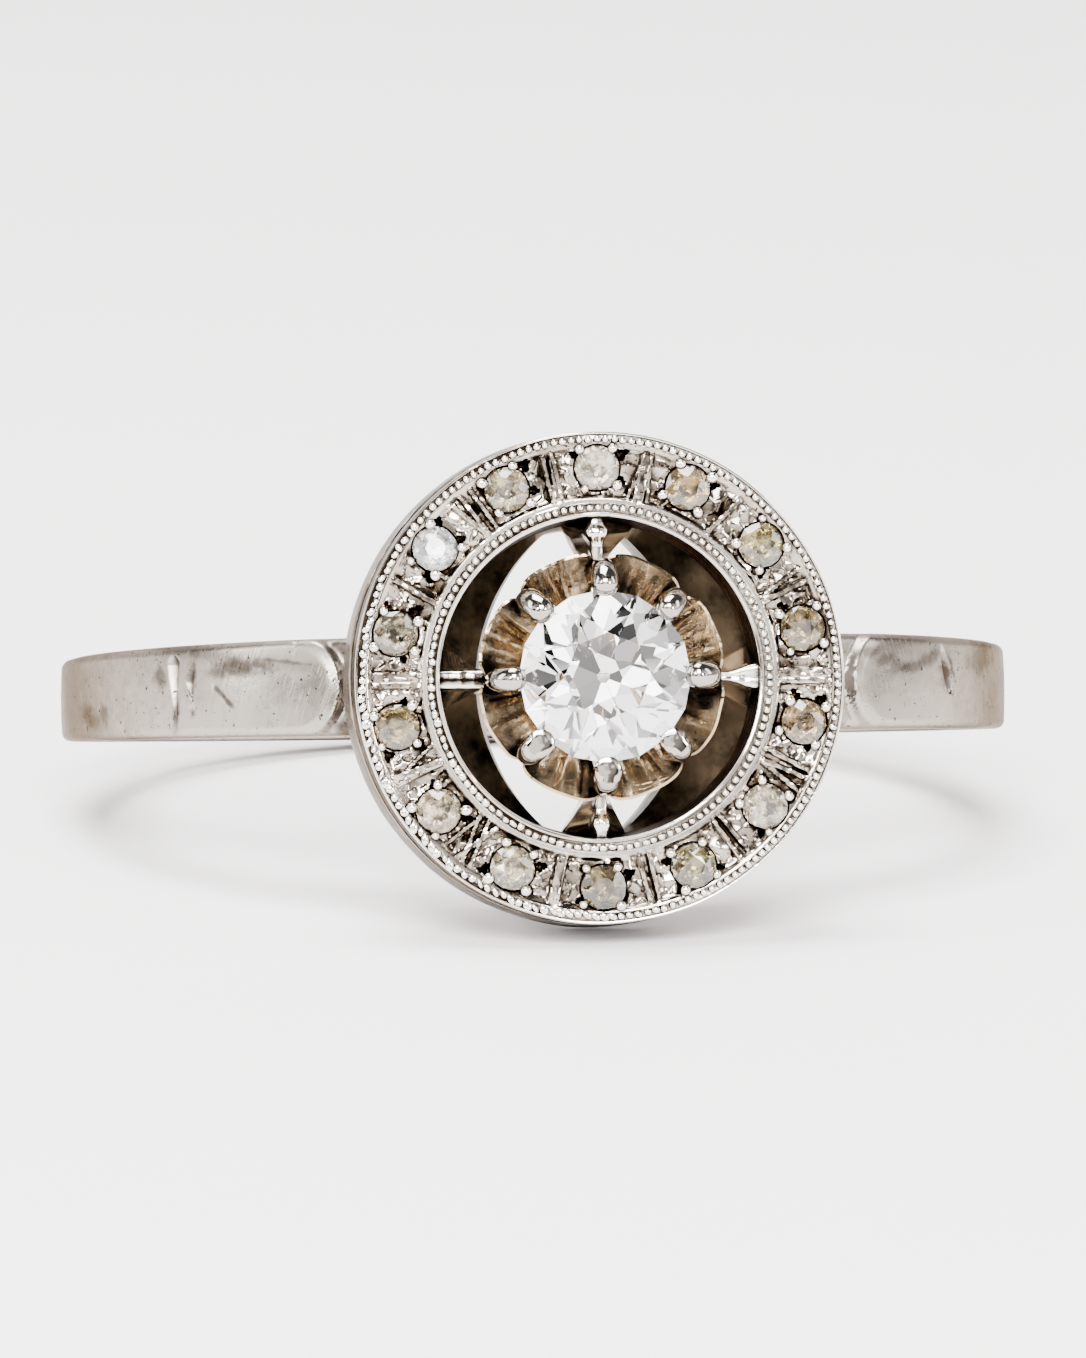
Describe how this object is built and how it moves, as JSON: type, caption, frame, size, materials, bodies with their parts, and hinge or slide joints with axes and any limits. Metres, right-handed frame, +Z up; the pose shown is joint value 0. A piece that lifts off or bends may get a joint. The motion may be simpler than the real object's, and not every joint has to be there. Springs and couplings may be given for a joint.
{
  "type": "halo cluster ring with a raised centre stone",
  "caption": "White-metal finger ring with a round stone-set halo plate around a raised clawed centre stone on a tapering shank, lying on its side.",
  "frame": {"origin": "centre of the footprint of the ring as it lies by itself on its side, on the ground at z = 0", "axes": "+Z up, -Y the way the head with its stones looks (tipped up a little), +X to the right seen from the front"},
  "size_m": [0.0198, 0.0238, 0.01],
  "materials": {
    "white_gold": "polished white gold, worn and lightly tarnished",
    "diamond": "clear old European cut diamond, polished facets",
    "old_cut_stone": "cloudy old single cut stones, worn facets"
  },
  "bodies": {
    "root": {"mount": "white_gold", "centre_stone": "diamond", "halo_stone_01": "old_cut_stone", "halo_stone_02": "old_cut_stone", "halo_stone_03": "old_cut_stone", "halo_stone_04": "old_cut_stone", "halo_stone_05": "old_cut_stone", "halo_stone_06": "old_cut_stone", "halo_stone_07": "old_cut_stone", "halo_stone_08": "old_cut_stone", "halo_stone_09": "old_cut_stone", "halo_stone_10": "old_cut_stone", "halo_stone_11": "old_cut_stone", "halo_stone_12": "old_cut_stone", "halo_stone_13": "old_cut_stone", "halo_stone_14": "old_cut_stone"}
  },
  "joints": []
}
